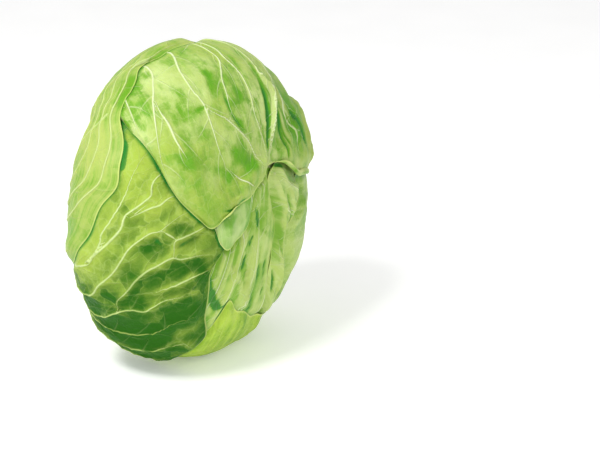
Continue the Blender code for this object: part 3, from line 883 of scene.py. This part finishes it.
def make_leaf(
    index, material, ribs, columns, rows, strong=(2.2, 0.8), raised=(1.0, 0.4), spacing=11.0,
    vein_length=24.0, pucker=0.5, ridge=0.0, uneven=0.5, creases=(), patches=(), plateau=None, rolls=(),
    middle=((0.0, 0.0), (0.0, 0.3), (0.01, 0.6), (0.0, 0.92)), thick_until=0.66, rim_fade=9.0,
):
    """Makes the blade of one leaf. strong and raised are its ribs' widths and heights at their ends."""
    leaf = LEAVES[index]
    lines = [even_rows(leaf, -1.0 + 2.0 * k / columns, rows) for k in range(columns + 1)]
    s = np.repeat(np.linspace(-1.0, 1.0, columns + 1), rows + 1)
    t = np.array([line[0] for line in lines]).ravel()
    tip_mm = np.array([line[1] for line in lines]).ravel()
    d = fan(leaf, s, t)
    grid = (columns + 1, rows + 1)
    few = d.reshape(*grid, 3)[np.ix_(coarse_places(columns), coarse_places(rows))]
    angles = [inside_angle(j, few.reshape(-1, 3)) for j in range(len(LEAVES))]
    cover = np.max([*angles[index + 1:]] or [np.full(len(angles[0]), UNCOVERED)], axis=0)
    cover_mm = -MM_PER_DEGREE * refined(cover.reshape(few.shape[:2]), columns, rows).ravel()
    bed_above = refined(bed_height(index, angles).reshape(few.shape[:2]), columns, rows).ravel()
    crosswise = np.linalg.norm(np.gradient(d.reshape(*grid, 3), axis=0), axis=-1).ravel()
    rim_mm = np.minimum(tip_mm, (1.0 - np.abs(s)) * crosswise * 0.5 * columns * HEAD_MM)

    midrib, main, side = lay_strands(leaf, ribs, middle, thick_until, strong, raised, spacing, vein_length)
    gap0, width0, height0, _ = midrib.nearest(d)
    gap1, width1, height1, rib_side = main.nearest(d)
    gap2, width2, height2, vein_side = side.nearest(d)
    crests = (
        height0 * np.clip(1.0 - (gap0 / (0.5 * width0)) ** 2, 0.0, 1.0),
        height1 * np.exp(-((gap1 / (0.62 * width1)) ** 2)),
        height2 * np.exp(-((gap2 / (0.70 * width2)) ** 2)),
    )
    rib_relief = np.maximum.reduce(crests)

    body = smooth(t * 2.2 - 0.25)
    gap = np.minimum(gap1, gap2 + 0.8)
    swelling = pucker * (1.0 - np.exp(-((gap / PUCKER_REACH_MM) ** 2))) * body
    swelling = swelling + ridge * body * (np.exp(-gap1 / 3.4) + 0.40 * np.exp(-gap2 / 1.6))
    waves = uneven * (rough_noise(d, 0.30, leaf.seed) + 0.35 * rough_noise(d, 0.09, leaf.seed + 7))
    # dark is shade painted along the creases; below zero it is painted highlight.
    folds, dark = creased(d, creases)
    if plateau is not None:
        folds = folds + plateau(s, t) * smooth(tip_mm / 12.0)
    at_rim = smooth(rim_mm / rim_fade)
    relief_mm = swelling * at_rim + (waves + uneven) * body * at_rim
    relief_mm = relief_mm + np.maximum(folds, -DEEPEST_FOLD_MM) * smooth(rim_mm / 4.0)
    relief_mm = np.maximum(rib_relief * (0.45 + 0.55 * at_rim) + relief_mm, 0.0)
    # How far each place stands above or below its surroundings; the material paints shade in the low places
    # and highlight on the high ones.
    tall = blurred(relief_mm.reshape(grid), 3) - blurred(relief_mm.reshape(grid), 40)

    room = COVERED_ROOM_MM + EDGE_ROOM_MM * smooth((-cover_mm - 6.0) / 8.0)
    room = room + OPEN_ROOM_MM * smooth((cover_mm - 0.5) / 14.0)
    settle = SETTLE * smooth(1.0 - rim_mm / SETTLE_REACH_MM) * smooth((cover_mm + 8.0) / 8.0)
    bed = heart_radius(d) + bed_above
    lift = margin_lift(leaf, s, t) * smooth((cover_mm + 1.0) / 8.0)
    outer = bed + lift + 0.001 * room * np.tanh(relief_mm / room) + BLADE - settle
    thin = smooth((rim_mm - 0.2) / 5.0)
    thickness = between((MARGIN_BLADE, BLADE), thin) + RIB_FLESH * np.clip(rib_relief, 0.0, 1.5) * thin
    inner = np.maximum(bed - settle, outer - thickness)
    faces = rolled([d * distance[:, None] for distance in (inner, outer)], d, grid, s, tip_mm, rolls)

    sheet = bmesh.new()
    bmesh.ops.create_grid(sheet, x_segments=columns, y_segments=rows, size=1.0)
    risen = bmesh.ops.extrude_face_region(sheet, geom=list(sheet.faces))["geom"]
    risen = [v for v in risen if isinstance(v, bmesh.types.BMVert)]
    bmesh.ops.translate(sheet, verts=risen, vec=(0.0, 0.0, 1.0))
    flat = np.array([v.co[:] for v in sheet.verts])
    column = np.rint((flat[:, 0] + 1.0) / 2.0 * columns).astype(int)
    row = np.rint((flat[:, 1] + 1.0) / 2.0 * rows).astype(int)
    which = column * (rows + 1) + row
    on_outer = flat[:, 2] > 0.5
    points = laid_down(np.where(on_outer[:, None], faces[1][which], faces[0][which]))
    floor_height = max(0, LOWEST_LEAF - index) * FLOOR_STEP + np.where(on_outer, 0.0, BLADE)
    points[:, 2] = np.maximum(points[:, 2], floor_height)
    piece = put_in_place(leaf.name + "_blade", sheet, points, material, leaf.name)
    kept = {
        "across": s,
        "along": t,
        "rib_mm": np.clip(gap1 - 0.5 * width1, -STORED_REACH_MM, STORED_REACH_MM),
        "rib_side": rib_side,
        "vein_mm": np.clip(gap2 - 0.5 * width2, -STORED_REACH_MM, STORED_REACH_MM),
        "vein_side": vein_side,
        "midrib_mm": np.clip(gap0 - 0.36 * width0, -STORED_REACH_MM, STORED_REACH_MM),
        # Painted shade in valleys and along the creases, painted highlight on crests and pale creases.
        "painted_fold_shading": np.clip(-tall.ravel() * 0.9, -0.45, 1.2) + dark,
        "patch": patched(d, patches),
        "rim_mm": rim_mm,
        "cover_mm": np.clip(cover_mm, -20.0, 40.0),
    }
    keep_on_corners(piece, {title: values[which] for title, values in kept.items()})


# The three pale crown leaves: soft, whitish green with faint veins, folded over one another.
# Two are the inner ones, over the lower crown and its right, and the third ends in a small flap.
crown_lower_finish = leaf_finish(
    "pale crown leaf",
    pale=tone(0.39, 0.52, 0.11), deep=tone(0.17, 0.36, 0.025), rib=tone(0.70, 0.79, 0.50),
    seed=1, bloom_and_highlight=0.65, stripes=1.1, net=0.12, vein_white=0.4, tuck_shadow_amount=0.3, rim=0.35,
)
# Painted highlight along the ridges and painted shade in the valleys and slits; the last three paint the
# shade in the V between the deep green leaf and the bottom leaf.
CROWN_LOWER_CREASES = (
    (((26, 132), (33, 143), (46, 160), (56, 168)), 1.5, 2.4, -1.0),
    (((39, 149), (51, 164), (57, 166), (66, 168)), 1.3, 2.0, -1.0),
    (((14, 197), (35, 192), (51, 191), (63, 192)), 1.7, 2.4, -0.9),
    (((44, 119), (42, 130), (43, 146), (50, 156)), 1.3, 1.8, -1.0),
    (((13, 62), (11, 96), (13, 127), (15, 132)), 1.4, -1.6, 1.5),
    (((17, 124), (22, 128), (27, 131)), 0.9, -1.2, 1.3),
    (((31, 131), (36, 137), (39, 140)), 1.1, -1.6, 1.5),
    (((13, 127), (13, 160), (18, 190)), 1.1, -1.0, 1.0),
    (((19, 126), (32, 127), (38, 134), (45, 139), (50, 142)), 0.9, -0.9, 1.2),
    (((14, 150), (24, 160), (36, 168), (48, 176)), 1.9, -1.6, 0.6),
    (((44, 168), (52, 173), (62, 176), (72, 178)), 1.5, -1.6, 0.7),
    (((24, 178), (34, 180), (44, 183), (58, 186)), 1.4, -1.4, 0.6),
    (((30, 138), (40, 150), (48, 157)), 1.2, -1.4, 0.8),
    (((52, 115), (54, 121), (55, 128), (57, 139), (58, 145)), 2.2, -1.6, 2.2),
    (((60, 135), (58, 138), (56, 144), (52, 150)), 1.8, -1.0, 2.0),
    (((66, 152), (61, 150), (58, 148), (54, 149)), 1.6, -1.0, 1.8),
)
CROWN_LOWER_PATCHES = (
    (((34, 100), (40, 108), (46, 114)), 5.0, 0.4),
    (((20, 150), (32, 160), (44, 172)), 7.0, -0.3),
)
make_leaf(
    0, crown_lower_finish, fan_ribs(15, seed=3), columns=170, rows=130,
    creases=CROWN_LOWER_CREASES, patches=CROWN_LOWER_PATCHES,
    plateau=soft_pleats(1.5, 1.6, 7.0, sway=(5.0, 0.0), ripple=(0.35, 11.0, 3.0)),
)
crown_right_finish = leaf_finish(
    "waxy crown leaf",
    pale=tone(0.40, 0.53, 0.12), deep=tone(0.18, 0.37, 0.03), rib=tone(0.70, 0.79, 0.50),
    seed=2, bloom_and_highlight=0.65, stripes=1.1, net=0.12, vein_white=0.4, tuck_shadow_amount=0.3, rim=0.2,
)
# Painted highlight along the ridges and painted shade in the valleys and slits.
CROWN_RIGHT_CREASES = (
    (((31, 214), (37, 208), (44, 204), (52, 203), (62, 203)), 1.5, 2.6, -1.0),
    (((30, 332), (20, 316), (18, 270), (24, 236), (34, 217)), 1.6, 2.2, -0.9),
    (((29, 293), (31, 266), (38, 241), (48, 226)), 1.6, 2.0, -0.9),
    (((26, 222), (34, 211), (42, 208), (52, 208)), 1.4, -1.8, 0.4),
    (((24, 300), (25, 268), (31, 246), (40, 232), (50, 224)), 1.8, -1.8, 0.35),
    (((39, 239), (40, 231), (43, 221)), 3.0, -1.0, 0.3),
    (((29, 336), (31, 319), (34, 304)), 2.2, -1.0, 1.8),
    (((38, 196), (46, 197), (58, 198)), 1.3, -1.4, 0.6),
    (((12, 230), (20, 216), (28, 206)), 1.4, 1.6, -0.4),
)
make_leaf(
    1, crown_right_finish, fan_ribs(13, seed=4), columns=180, rows=130,
    creases=CROWN_RIGHT_CREASES,
    plateau=soft_pleats(1.7, 1.5, 6.0, sway=(4.0, 1.0), ripple=(0.4, 9.0, 2.0)),
)
under_top_finish = leaf_finish(
    "pale flap leaf",
    pale=tone(0.38, 0.53, 0.17), deep=tone(0.16, 0.36, 0.04), rib=tone(0.64, 0.74, 0.46),
    seed=3, bloom_and_highlight=0.3, stripes=0.9, net=0.15,
)
# The first patch is painted shadow under the top leaf's curled margin.
FLAP_PATCHES = (
    (((43, 87), (37, 87), (30, 77)), 3.0, 0.8),
    (((38, 106), (33, 102), (26, 94)), 4.5, -0.7),
    (((26, 109), (19, 96), (16, 71)), 3.5, 0.9),
)
make_leaf(
    5, under_top_finish, fan_ribs(9, seed=5), columns=150, rows=140, pucker=0.4,
    patches=FLAP_PATCHES,
)


# The side leaves: one up the right side of the crown, and the yellow-green one that the head lies on.
# Both are firm and smooth, with low ribs, and the lower one is pressed flat where it meets the table.
right_finish = leaf_finish(
    "right side leaf",
    pale=tone(0.37, 0.51, 0.11), deep=tone(0.17, 0.35, 0.03), rib=tone(0.62, 0.71, 0.36),
    seed=4, bloom_and_highlight=0.2, stripes=1.0, rim=0.3,
)
make_leaf(
    2, right_finish, fan_ribs(9, seed=6), columns=170, rows=120,
    plateau=lambda s, t: 1.4 * (0.5 + 0.5 * np.cos(np.pi * 7.0 * s)) * smooth(3.0 * (t - 0.3)),
)
bottom_finish = leaf_finish(
    "yellow-green side leaf",
    pale=tone(0.40, 0.57, 0.035), deep=tone(0.14, 0.32, 0.012), rib=tone(0.46, 0.58, 0.12),
    seed=5, bloom_and_highlight=0.1, stripes=0.5,
)
make_leaf(
    3, bottom_finish, fan_ribs(9, seed=7), columns=180, rows=110, pucker=0.4, uneven=0.35,
)


# The deep green leaf at the lower left: an old outer leaf, blistered between strong pale ribs.
# Its right margin is thin and yellow, and lies on the bottom leaf.
# Its low setting paints shade near the floor, and dusk darkens one side, partly its deeper green and partly
# painted shade.
dark_finish = leaf_finish(
    "blistered deep green leaf",
    pale=tone(0.315, 0.435, 0.058), deep=tone(0.024, 0.122, 0.007), rib=tone(0.56, 0.68, 0.30),
    seed=6, coat=0.0, tuck_shadow_amount=0.95, patches=0.45, net=0.32, stripes=0.1, bloom_and_highlight=0.03, blister=1.4,
    low=(0.085, 0.030, 0.40), halo=0.20, cellular=0.50, dusk=(-0.50, 0.06, 0.85), hollows=0.35,
    vein_white=0.10, rib_green=0.75, sheen=0.04, grainy=0.9, cells=82.0,
)
DEEP_GREEN_RIBS = laid(
    ((-240, 0), (-250, 350), (-260, 511), (-260, 553), (-257, 575), (-292, 630), (-318, 659), (-343, 677),
     (-365, 721), (-387, 767), (-402, 794), (-432, 840), (-470, 920)),
    ((-270, 580), (-290, 639), (-307, 692), (-323, 732), (-350, 761), (-350, 796), (-350, 820),
     (-353, 842), (-375, 860), (-400, 950)),
    ((-50, 0), (-40, 350), (-47, 505), (-132, 553), (-180, 615), (-218, 666), (-245, 710), (-250, 743),
     (-247, 776), (-237, 785), (-237, 809), (-237, 842), (-232, 869), (-220, 888)),
    ((155, 615), (-7, 584), (-65, 622), (-110, 657), (-125, 688), (-122, 719), (-117, 752), (-90, 772),
     (-55, 818), (-17, 860)),
    ((300, 0), (290, 350), (228, 586), (173, 615), (120, 637), (177, 721), (133, 745), (175, 842),
     (213, 921)),
    ((-120, 758), (-167, 787), (-157, 807), (-142, 846), (-122, 893)),
    ((-167, 787), (-200, 789), (-228, 791)),
    ((-335, 770), (-327, 800), (-320, 824), (-310, 846), (-312, 866), (-310, 884), (-302, 902)),
    ((360, 0), (360, 400), (350, 650), (333, 798), (312, 829), (315, 884), (328, 939)),
    ((470, 0), (470, 400), (460, 700), (445, 844), (440, 888), (492, 957)),
    ((0, 690), (10, 720), (22, 752), (35, 794), (60, 844), (107, 924)),
    ((620, 0), (620, 500), (600, 800), (620, 1000)),
    ((800, 0), (790, 500), (800, 1000)),
    ((-440, 0), (-460, 400), (-540, 700), (-600, 1000)),
    ((-660, 0), (-680, 500), (-720, 1000)),
    ((-840, 0), (-860, 500), (-880, 1000)),
)
# Painted shade under two ribs, then painted shadow along the margins of the top leaf and the outer leaf
# that lie over this one.
DEEP_GREEN_CREASES = (
    (((67, 97), (62, 94), (55, 91), (48, 88)), 1.3, -1.2, 0.25),
    (((72, 87), (69, 91), (67, 96)), 1.4, -1.0, 0.2),
    (((75, 57), (71, 62), (68, 65), (65, 68), (62, 71)), 1.5, -0.8, 1.8),
    (((62, 72), (58, 77), (54, 81), (49, 86)), 1.7, -0.8, 2.0),
    (((87, 51), (85, 58), (84, 67)), 1.6, -0.8, 2.2),
)
DEEP_GREEN_PATCHES = (
    (((72, 89), (69, 92), (65, 96)), 5.0, 0.35),
    (((64, 84), (59, 88), (53, 93)), 5.5, 0.4),
    (((66, 97), (63, 103), (60, 110)), 7.0, 0.45),
    (((83, 98), (79, 102), (75, 106)), 5.5, 0.35),
    (((78, 106), (73, 105), (69, 105)), 6.0, 0.4),
    (((84, 112), (80, 112), (76, 112)), 6.0, 0.4),
    (((77, 126), (70, 127), (63, 129), (57, 130)), 9.0, 0.7),
    (((99, 124), (93, 127), (87, 130), (81, 134), (76, 140)), 9.0, 1.5),
    (((106, 115), (100, 116), (95, 119)), 6.0, 0.7),
    (((58, 97), (55, 108), (54, 122)), 5.0, 0.35),
    (((76, 87), (74, 91), (72, 95)), 4.0, 0.5),
    (((100, 88), (98, 97), (97, 106)), 8.0, -0.6),
    (((85, 80), (79, 84), (74, 89)), 5.0, -0.2),
    (((78, 73), (72, 76), (67, 79)), 7.0, -0.3),
    (((88, 60), (80, 64), (74, 68)), 9.0, -0.4),
    (((76, 134), (70, 138), (66, 143)), 5.0, -0.4),
    (((56, 104), (54, 113), (55, 125)), 4.0, 0.4),
)
make_leaf(
    4, dark_finish, DEEP_GREEN_RIBS, columns=240, rows=180, strong=(1.9, 0.9),
    raised=(0.9, 0.7), spacing=9.0, vein_length=18.0, pucker=0.3, ridge=1.9, uneven=0.8,
    creases=DEEP_GREEN_CREASES, patches=DEEP_GREEN_PATCHES,
    middle=((0.0, 0.0), (0.02, 0.25), (0.03, 0.45)), thick_until=0.45,
)


# The big top leaf: light green, with fine white ribs that run down over the crown from the top.
# It is pleated over its right half, and its lower margin is thick, pale and rolled outwards there.
top_finish = leaf_finish(
    "light green top leaf",
    pale=tone(0.31, 0.43, 0.060), deep=tone(0.10, 0.305, 0.009), rib=tone(0.70, 0.79, 0.48),
    seed=7, bloom_and_highlight=0.62, patches=0.8, net=0.2, stripes=0.5, hollows=1.1, grainy=1.6, blister=0.5,
)
TOP_RIBS = laid(
    ((340, 0), (340, 300), (350, 500), (335, 604), (375, 657), (417, 712), (458, 774), (508, 860),
     (528, 919), (525, 946)),
    ((403, 705), (405, 732), (395, 747), (390, 785), (370, 807)),
    ((200, 0), (200, 350), (218, 573), (262, 637), (262, 677), (250, 701), (250, 723), (250, 758),
     (248, 798), (238, 833), (248, 882)),
    ((248, 708), (230, 723), (205, 734), (170, 745), (145, 754), (83, 787), (28, 869), (-20, 946)),
    ((0, 200), (30, 400), (25, 551), (30, 571), (30, 593), (75, 622), (110, 646), (127, 681), (137, 714),
     (117, 741), (83, 767)),
    ((0, 300), (-15, 450), (-35, 575), (-17, 604), (-30, 626), (-45, 659), (-47, 699), (-27, 749),
     (-42, 805), (-90, 913), (-52, 974)),
    ((-160, 0), (-180, 400), (-220, 635), (-220, 675), (-210, 703), (-242, 734), (-250, 758), (-210, 811),
     (-160, 871), (-127, 930), (-105, 979)),
    ((-260, 0), (-280, 400), (-305, 659), (-302, 690), (-355, 721), (-365, 763), (-443, 827)),
    ((-312, 692), (-323, 730), (-325, 776), (-362, 829), (-380, 895)),
    ((215, 862), (180, 897), (127, 926), (62, 974)),
    ((-330, 679), (-262, 741), (-208, 813), (-157, 893), (-127, 966)),
    ((-500, 0), (-500, 400), (-520, 700), (-530, 980)),
    ((-640, 0), (-640, 500), (-630, 800), (-640, 1000)),
    ((-760, 0), (-760, 500), (-750, 800), (-760, 1000)),
    ((-890, 0), (-890, 500), (-890, 800), (-900, 1000)),
    ((530, 0), (540, 400), (580, 700), (660, 1000)),
    ((700, 0), (720, 400), (760, 700), (800, 1000)),
    ((870, 0), (880, 500), (900, 1000)),
)
# Painted shade in the pleats' valleys and a little painted highlight on their ridges; the fold by the
# curled tip holds painted shadow.
TOP_CREASES = (
    (((72, 343), (69, 341), (64, 339), (61, 335), (57, 334), (51, 337), (44, 340), (36, 341)),
     1.9, 3.6, -0.3),
    (((66, 344), (59, 342), (52, 343), (45, 345), (36, 345)), 1.6, -2.8, 0.6),
    (((61, 331), (53, 329), (46, 326), (40, 318), (35, 306)), 1.5, -3.8, 0.9),
    (((68, 328), (60, 323), (55, 315), (51, 305), (47, 294)), 2.0, 3.4, -0.2),
    (((64, 316), (59, 309), (55, 300), (52, 290)), 1.5, -3.6, 0.8),
    (((80, 304), (68, 300), (60, 293), (52, 283)), 2.0, 3.0, -0.2),
    (((78, 296), (66, 294), (57, 286)), 1.6, -2.8, 0.5),
    (((76, 286), (64, 284), (54, 279)), 2.4, 2.4, 0.0),
    (((75, 33), (70, 37), (67, 40)), 1.4, -0.8, 0.5),
    (((68, 34), (66, 29), (65, 25)), 1.3, -0.7, 0.4),
    (((76, 9), (71, 13), (67, 18), (62, 22)), 2.4, -0.5, 0.35),
    (((66, 11), (61, 14), (56, 16), (51, 15), (46, 11)), 1.6, -0.7, 0.7),
    (((44, 76), (42, 76), (37, 76), (33, 73), (29, 66), (24, 56)), 0.9, -1.4, 1.8),
    (((39, 70), (34, 66), (29, 58)), 1.6, 1.2, -0.3),
    (((55, 341), (47, 345), (38, 348), (32, 348)), 1.1, -1.6, 1.4),
    (((60, 329), (54, 328), (46, 321), (40, 307)), 1.1, -1.6, 1.2),
)
TOP_PATCHES = (
    (((43, 82), (40, 83), (36, 81), (31, 76)), 1.6, -2.2),
    (((74, 4), (68, 5), (60, 3), (54, 2)), 3.6, 0.5),
    (((54, 13), (49, 13), (44, 15)), 4.0, 0.5),
    (((76, 30), (70, 34), (63, 38)), 3.2, 0.35),
    (((70, 53), (63, 55), (55, 56)), 5.5, 0.4),
    (((49, 36), (39, 29), (28, 14)), 7.5, 1.0),
    (((73, 344), (68, 341), (62, 338)), 5.0, 0.5),
    (((75, 10), (70, 12), (64, 14)), 4.5, 0.35),
    (((53, 51), (46, 51), (36, 48)), 6.0, 0.8),
    (((62, 63), (55, 67), (47, 71)), 5.0, 0.3),
    (((86, 35), (83, 27), (80, 16)), 9.0, -0.4),
    (((64, 29), (57, 30), (50, 30)), 6.0, -0.5),
    (((78, 42), (72, 46), (66, 51)), 7.0, -0.4),
    (((79, 2), (76, 358), (73, 353)), 5.0, -0.4),
    (((58, 2), (51, 1), (42, 3)), 4.0, -0.4),
    # The last three are painted shade over the pleated right half.
    (((66, 322), (58, 312), (50, 298)), 10.0, 1.2),
    (((61, 318), (52, 309), (47, 293)), 7.0, 0.6),
    (((52, 330), (44, 326), (36, 318)), 7.0, 0.6),
)


def raised_right_half(s, t):
    return 3.0 * smooth((-0.08 - s) / 0.22) * smooth(3.0 * (t - 0.25)) * smooth((1.02 - t) * 14.0)


make_leaf(
    6, top_finish, TOP_RIBS, columns=250, rows=180, strong=(2.3, 1.0), raised=(1.1, 0.6),
    spacing=13.0, vein_length=26.0, pucker=0.55, uneven=0.6,
    rolls=((-0.37, 0.16, 6.0, 1.7), (0.25, 0.06, 2.2, 0.8)), middle=((0.0, 0.0), (0.0, 0.3), (0.0, 0.52)),
    thick_until=0.5, rim_fade=4.0, creases=TOP_CREASES, patches=TOP_PATCHES,
    plateau=raised_right_half,
)


# The outermost leaf, round the left side and the back: very smooth, with long pale stripes across it.
# Its upper margin is waved, lies close on the top leaf and has painted dark green shadows in places.
left_finish = leaf_finish(
    "smooth outer leaf",
    pale=tone(0.375, 0.465, 0.10), deep=tone(0.135, 0.33, 0.014), rib=tone(0.54, 0.65, 0.26),
    seed=8, bloom_and_highlight=0.2, patches=0.7, net=0.1, stripes=1.0, lengthwise=False, rim=0.45, vein_white=0.15,
)
OUTER_RIBS = laid(
    ((850, 0), (800, 400), (620, 720), (420, 870), (280, 910), (120, 930), (-30, 945), (-170, 955),
     (-320, 965), (-500, 980)),
    ((700, 0), (640, 400), (500, 680), (284, 810), (120, 850), (-30, 870), (-170, 890), (-330, 900),
     (-500, 920)),
    ((520, 0), (480, 350), (360, 600), (200, 730), (50, 790), (-120, 820), (-300, 840), (-520, 860)),
    ((340, 0), (300, 300), (200, 520), (50, 660), (-100, 720), (-300, 750), (-550, 780)),
    ((160, 0), (120, 300), (20, 480), (-120, 580), (-300, 640), (-550, 680)),
    ((-50, 0), (-100, 300), (-200, 450), (-400, 550), (-620, 600)),
    ((-300, 0), (-360, 250), (-500, 400), (-700, 480)),
    ((-550, 0), (-600, 200), (-720, 330), (-850, 400)),
    ((930, 0), (920, 500), (840, 800), (700, 950)),
)
# The first two are painted shadow along the upper margin.
OUTER_PATCHES = (
    (((92, 24), (90, 17), (89, 10), (87, 3), (84, -4)), 4.5, 1.7),
    (((94, 24), (92, 30), (91, 36), (92, 44)), 5.0, 1.3),
    (((99, 45), (96, 56), (95, 66)), 8.0, -0.3),
)
make_leaf(
    7, left_finish, OUTER_RIBS, columns=220, rows=150, strong=(1.8, 0.7), raised=(0.9, 0.45),
    spacing=17.0, vein_length=26.0, pucker=0.35, uneven=0.4, ridge=0.6, patches=OUTER_PATCHES,
)


# The studio: a plain pale floor, a wide soft lamp at the upper left and a weak one at the right.
# The air is white where it is seen, and dimmer as the light that it gives.
FLOOR_GLOW = 0.20
AIR_LIGHT = 0.70
WHITE = tone(1.0, 1.0, 1.0)
VIEW_MIDDLE = Vector((0.0, 0.0, 0.1045))
VIEW_AZIMUTH, VIEW_ELEVATION = -57.0, 17.0
VIEW_DISTANCE, VIEW_HALF_WIDTH = 1.35, 0.1955
VIEW_SHIFT = (0.1815, -0.049)

floor_finish, start, shader = new_finish(
    "pale floor",
    {"Roughness": 0.6, "Specular IOR Level": 0.3, "Emission Color": WHITE, "Emission Strength": FLOOR_GLOW},
)
grain = start.place().noise(14.0, 4.0)
feed(start, shader, Base_Color=grain.step(0.2, 0.8).blend(tone(0.91, 0.91, 0.905), tone(0.94, 0.94, 0.935)))
ground = bmesh.new()
bmesh.ops.create_grid(ground, x_segments=4, y_segments=4, size=3.0)
floor_mesh = bpy.data.meshes.new("floor")
ground.to_mesh(floor_mesh)
ground.free()
floor_mesh.materials.append(floor_finish)
floor = bpy.data.objects.new("floor", floor_mesh)
bpy.context.scene.collection.objects.link(floor)

bpy.context.scene.view_settings.view_transform = "Standard"
world = bpy.data.worlds.new("studio air")
bpy.context.scene.world = world
world.use_nodes = True
nodes = world.node_tree.nodes
air, backdrop = nodes["Background"], nodes.new("ShaderNodeBackground")
for made, strength in ((air, AIR_LIGHT), (backdrop, 1.0)):
    made.inputs["Strength"].default_value = strength
    made.inputs["Color"].default_value = WHITE
seen, both = nodes.new("ShaderNodeLightPath"), nodes.new("ShaderNodeMixShader")
for given, taken in (
    (seen.outputs["Is Camera Ray"], both.inputs[0]),
    (air.outputs[0], both.inputs[1]),
    (backdrop.outputs[0], both.inputs[2]),
    (both.outputs[0], nodes["World Output"].inputs["Surface"]),
):
    world.node_tree.links.new(given, taken)


def aim(name, data, azimuth, elevation, distance):
    """Puts a lamp or the camera in that direction from the head's middle, turned to it."""
    a, e = math.radians(azimuth), math.radians(elevation)
    toward = Vector((math.sin(a) * math.cos(e), -math.cos(a) * math.cos(e), math.sin(e)))
    made = bpy.data.objects.new(name, data)
    bpy.context.scene.collection.objects.link(made)
    made.location = VIEW_MIDDLE + toward * distance
    made.rotation_euler = toward.to_track_quat("Z", "Y").to_euler()
    return made


for name, azimuth, elevation, distance, size, power in (
    ("key lamp", -98, 50, 1.2, 0.35, 11.0),
    ("fill lamp", -22, 30, 1.5, 1.0, 4.5),
):
    light = bpy.data.lights.new(name, "AREA")
    light.shape, light.size, light.energy = "DISK", size, power
    aim(name, light, azimuth, elevation, distance)

camera = bpy.data.cameras.new("camera")
camera.angle = 2.0 * math.atan(VIEW_HALF_WIDTH / VIEW_DISTANCE)
camera.shift_x, camera.shift_y = VIEW_SHIFT
bpy.context.scene.camera = aim("camera", camera, VIEW_AZIMUTH, VIEW_ELEVATION, VIEW_DISTANCE)
